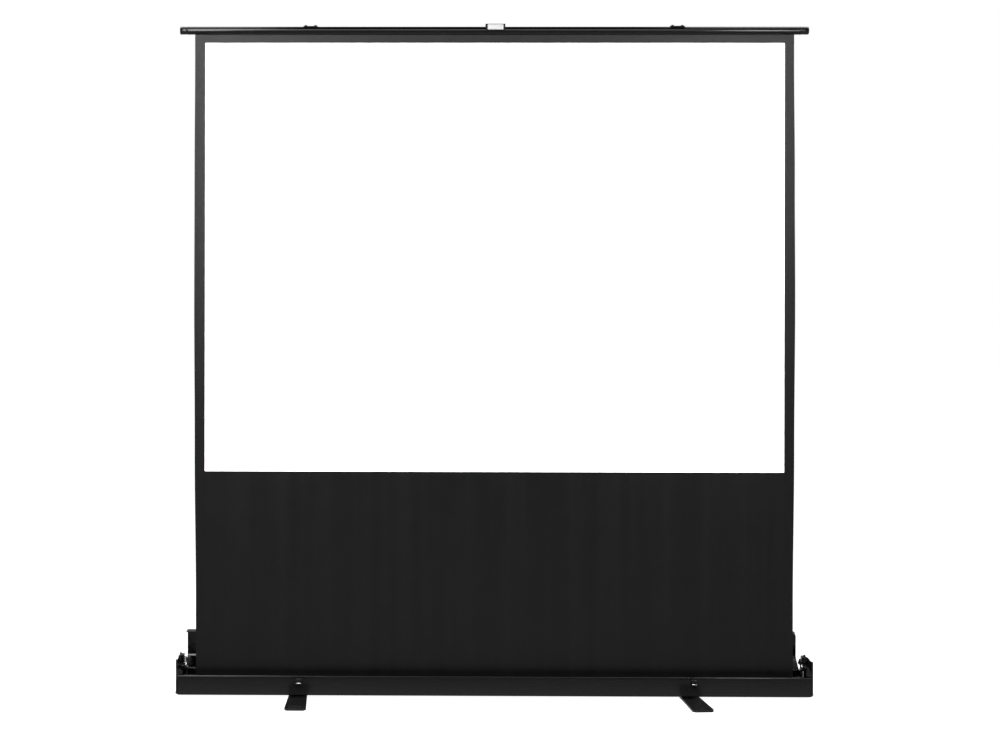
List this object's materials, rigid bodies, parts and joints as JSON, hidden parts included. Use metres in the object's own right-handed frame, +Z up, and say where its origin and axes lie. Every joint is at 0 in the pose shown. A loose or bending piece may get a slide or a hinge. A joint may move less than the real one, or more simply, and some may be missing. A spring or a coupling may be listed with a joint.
{
  "type": "pull up projection screen",
  "caption": "Floor standing projection screen pulled up out of its case by a scissor frame, with a lid standing open and turning feet.",
  "frame": {"origin": "on the floor under the middle of the case", "axes": "+X to the right as seen from the audience, -Y to the audience, +Z up"},
  "size_m": [1.7738, 0.3658, 1.885],
  "materials": {
    "case_enamel": "glossy black enamel",
    "black_plastic": "moulded, fine grain",
    "foot_plastic": "moulded, satin",
    "arm_enamel": "black enamel on flat aluminium bar",
    "bright_steel": "zinc plated",
    "dark_steel": "black zinc",
    "mill_aluminium": "drawn",
    "nylon": "natural nylon",
    "silver_plate": "satin, bare",
    "black_fabric": "matt coated cloth",
    "white_fabric": "matt white projection surface"
  },
  "bodies": {
    "case": {"case_trough": "case_enamel", "end_cap_left": "black_plastic", "end_cap_right": "black_plastic", "cap_screw_front_left": "bright_steel", "cap_screw_front_right": "bright_steel", "cap_screw_rear_left": "bright_steel", "cap_screw_rear_right": "bright_steel", "roller_bracket_left": "dark_steel", "roller_bracket_right": "dark_steel", "bracket_screw_left": "bright_steel", "bracket_screw_right": "bright_steel", "spring_arbor_axle": "bright_steel", "roller_axle": "bright_steel", "screen_fabric": "black_fabric", "image_surface": "white_fabric", "pivot_bracket": "dark_steel", "lower_left_pin": "bright_steel", "slide_rail": "dark_steel", "latch_base_left": "dark_steel", "latch_base_right": "dark_steel"},
    "foot_left": {"foot_left": "foot_plastic", "foot_rivet_left": "bright_steel"},
    "foot_right": {"foot_right": "foot_plastic", "foot_rivet_right": "bright_steel"},
    "roller": {"roller_tube": "mill_aluminium", "fabric_winding": "black_fabric", "roller_plug_left": "black_plastic", "roller_plug_right": "black_plastic", "roller_spring": "bright_steel"},
    "lower_arm_left": {"lower_arm_left": "arm_enamel", "lower_cross_rivet": "bright_steel", "lower_cross_washer": "nylon", "right_elbow_rivet": "bright_steel", "right_elbow_washer": "nylon"},
    "lower_arm_right": {"lower_arm_right": "arm_enamel", "left_elbow_rivet": "bright_steel", "left_elbow_washer": "nylon"},
    "upper_arm_left": {"upper_arm_left": "arm_enamel", "upper_cross_rivet": "bright_steel", "upper_cross_washer": "nylon"},
    "upper_arm_right": {"upper_arm_right": "arm_enamel"},
    "shoe": {"slide_shoe": "nylon", "lower_right_pin": "bright_steel"},
    "top_bar": {"top_tube": "case_enamel", "tube_plug_left": "black_plastic", "tube_plug_right": "black_plastic", "fabric_spline": "nylon", "fixed_clip": "black_plastic", "upper_left_pin": "bright_steel", "handle_saddle": "black_plastic", "handle_plate": "silver_plate"},
    "sliding_clip": {"sliding_clip": "black_plastic", "upper_right_pin": "bright_steel"},
    "lid": {"lid_panel": "case_enamel", "lid_catch_left": "bright_steel", "lid_catch_right": "bright_steel", "carry_handle": "black_plastic"},
    "latch_left": {"latch_lever_left": "dark_steel"},
    "latch_right": {"latch_lever_right": "dark_steel"}
  },
  "joints": [
    {"name": "scissor_fold", "type": "hinge", "parent": "case", "child": "lower_arm_left", "pos_m": [-0.524, 0, 0.026], "axis": [0, 1, 0], "range_deg": [0, 40.12], "deforming": ["screen_fabric", "image_surface"]},
    {"name": "lower_cross_pivot", "type": "hinge", "parent": "lower_arm_left", "child": "lower_arm_right", "pos_m": [0, 0, 0.48325], "axis": [0, 1, 0], "range_deg": [-80.3, 0]},
    {"name": "right_elbow_pivot", "type": "hinge", "parent": "lower_arm_left", "child": "upper_arm_left", "pos_m": [0.524, 0, 0.9405], "axis": [0, 1, 0], "range_deg": [-80.3, 0]},
    {"name": "left_elbow_pivot", "type": "hinge", "parent": "lower_arm_right", "child": "upper_arm_right", "pos_m": [-0.524, 0, 0.9405], "axis": [0, 1, 0], "range_deg": [0, 80.3]},
    {"name": "shoe_pivot", "type": "hinge", "parent": "lower_arm_right", "child": "shoe", "pos_m": [0.524, 0, 0.026], "axis": [0, 1, 0], "range_deg": [0, 40.2]},
    {"name": "top_pivot", "type": "hinge", "parent": "upper_arm_left", "child": "top_bar", "pos_m": [-0.524, 0, 1.855], "axis": [0, 1, 0], "range_deg": [0, 40.2]},
    {"name": "clip_pivot", "type": "hinge", "parent": "upper_arm_right", "child": "sliding_clip", "pos_m": [0.524, 0, 1.855], "axis": [0, 1, 0], "range_deg": [-40.2, 0]},
    {"name": "roller_spin", "type": "hinge", "parent": "case", "child": "roller", "pos_m": [0, -0.01805, 0.04], "axis": [1, 0, 0], "continuous": true},
    {"name": "lid_hinge", "type": "hinge", "parent": "case", "child": "lid", "pos_m": [0, 0.051, 0.064], "axis": [1, 0, 0], "range_deg": [0, 12]},
    {"name": "latch_left_lift", "type": "hinge", "parent": "case", "child": "latch_left", "pos_m": [-0.5425, -0.0569, 0.0585], "axis": [-1, 0, 0], "range_deg": [0, 100]},
    {"name": "latch_right_lift", "type": "hinge", "parent": "case", "child": "latch_right", "pos_m": [0.5555, -0.0569, 0.0585], "axis": [-1, 0, 0], "range_deg": [0, 100]},
    {"name": "foot_swivel_left", "type": "hinge", "parent": "case", "child": "foot_left", "pos_m": [-0.546, 0, 0], "axis": [0, 0, 1], "range_deg": [0, 90]},
    {"name": "foot_swivel_right", "type": "hinge", "parent": "case", "child": "foot_right", "pos_m": [0.546, 0, 0], "axis": [0, 0, 1], "range_deg": [-94.7, 0]}
  ],
  "couplings": [
    {"joint": "lower_cross_pivot", "follows": "scissor_fold", "ratio": -2},
    {"joint": "right_elbow_pivot", "follows": "scissor_fold", "ratio": -2},
    {"joint": "left_elbow_pivot", "follows": "scissor_fold", "ratio": 2},
    {"joint": "shoe_pivot", "follows": "scissor_fold", "ratio": 1},
    {"joint": "top_pivot", "follows": "scissor_fold", "ratio": 1},
    {"joint": "clip_pivot", "follows": "scissor_fold", "ratio": -1}
  ]
}
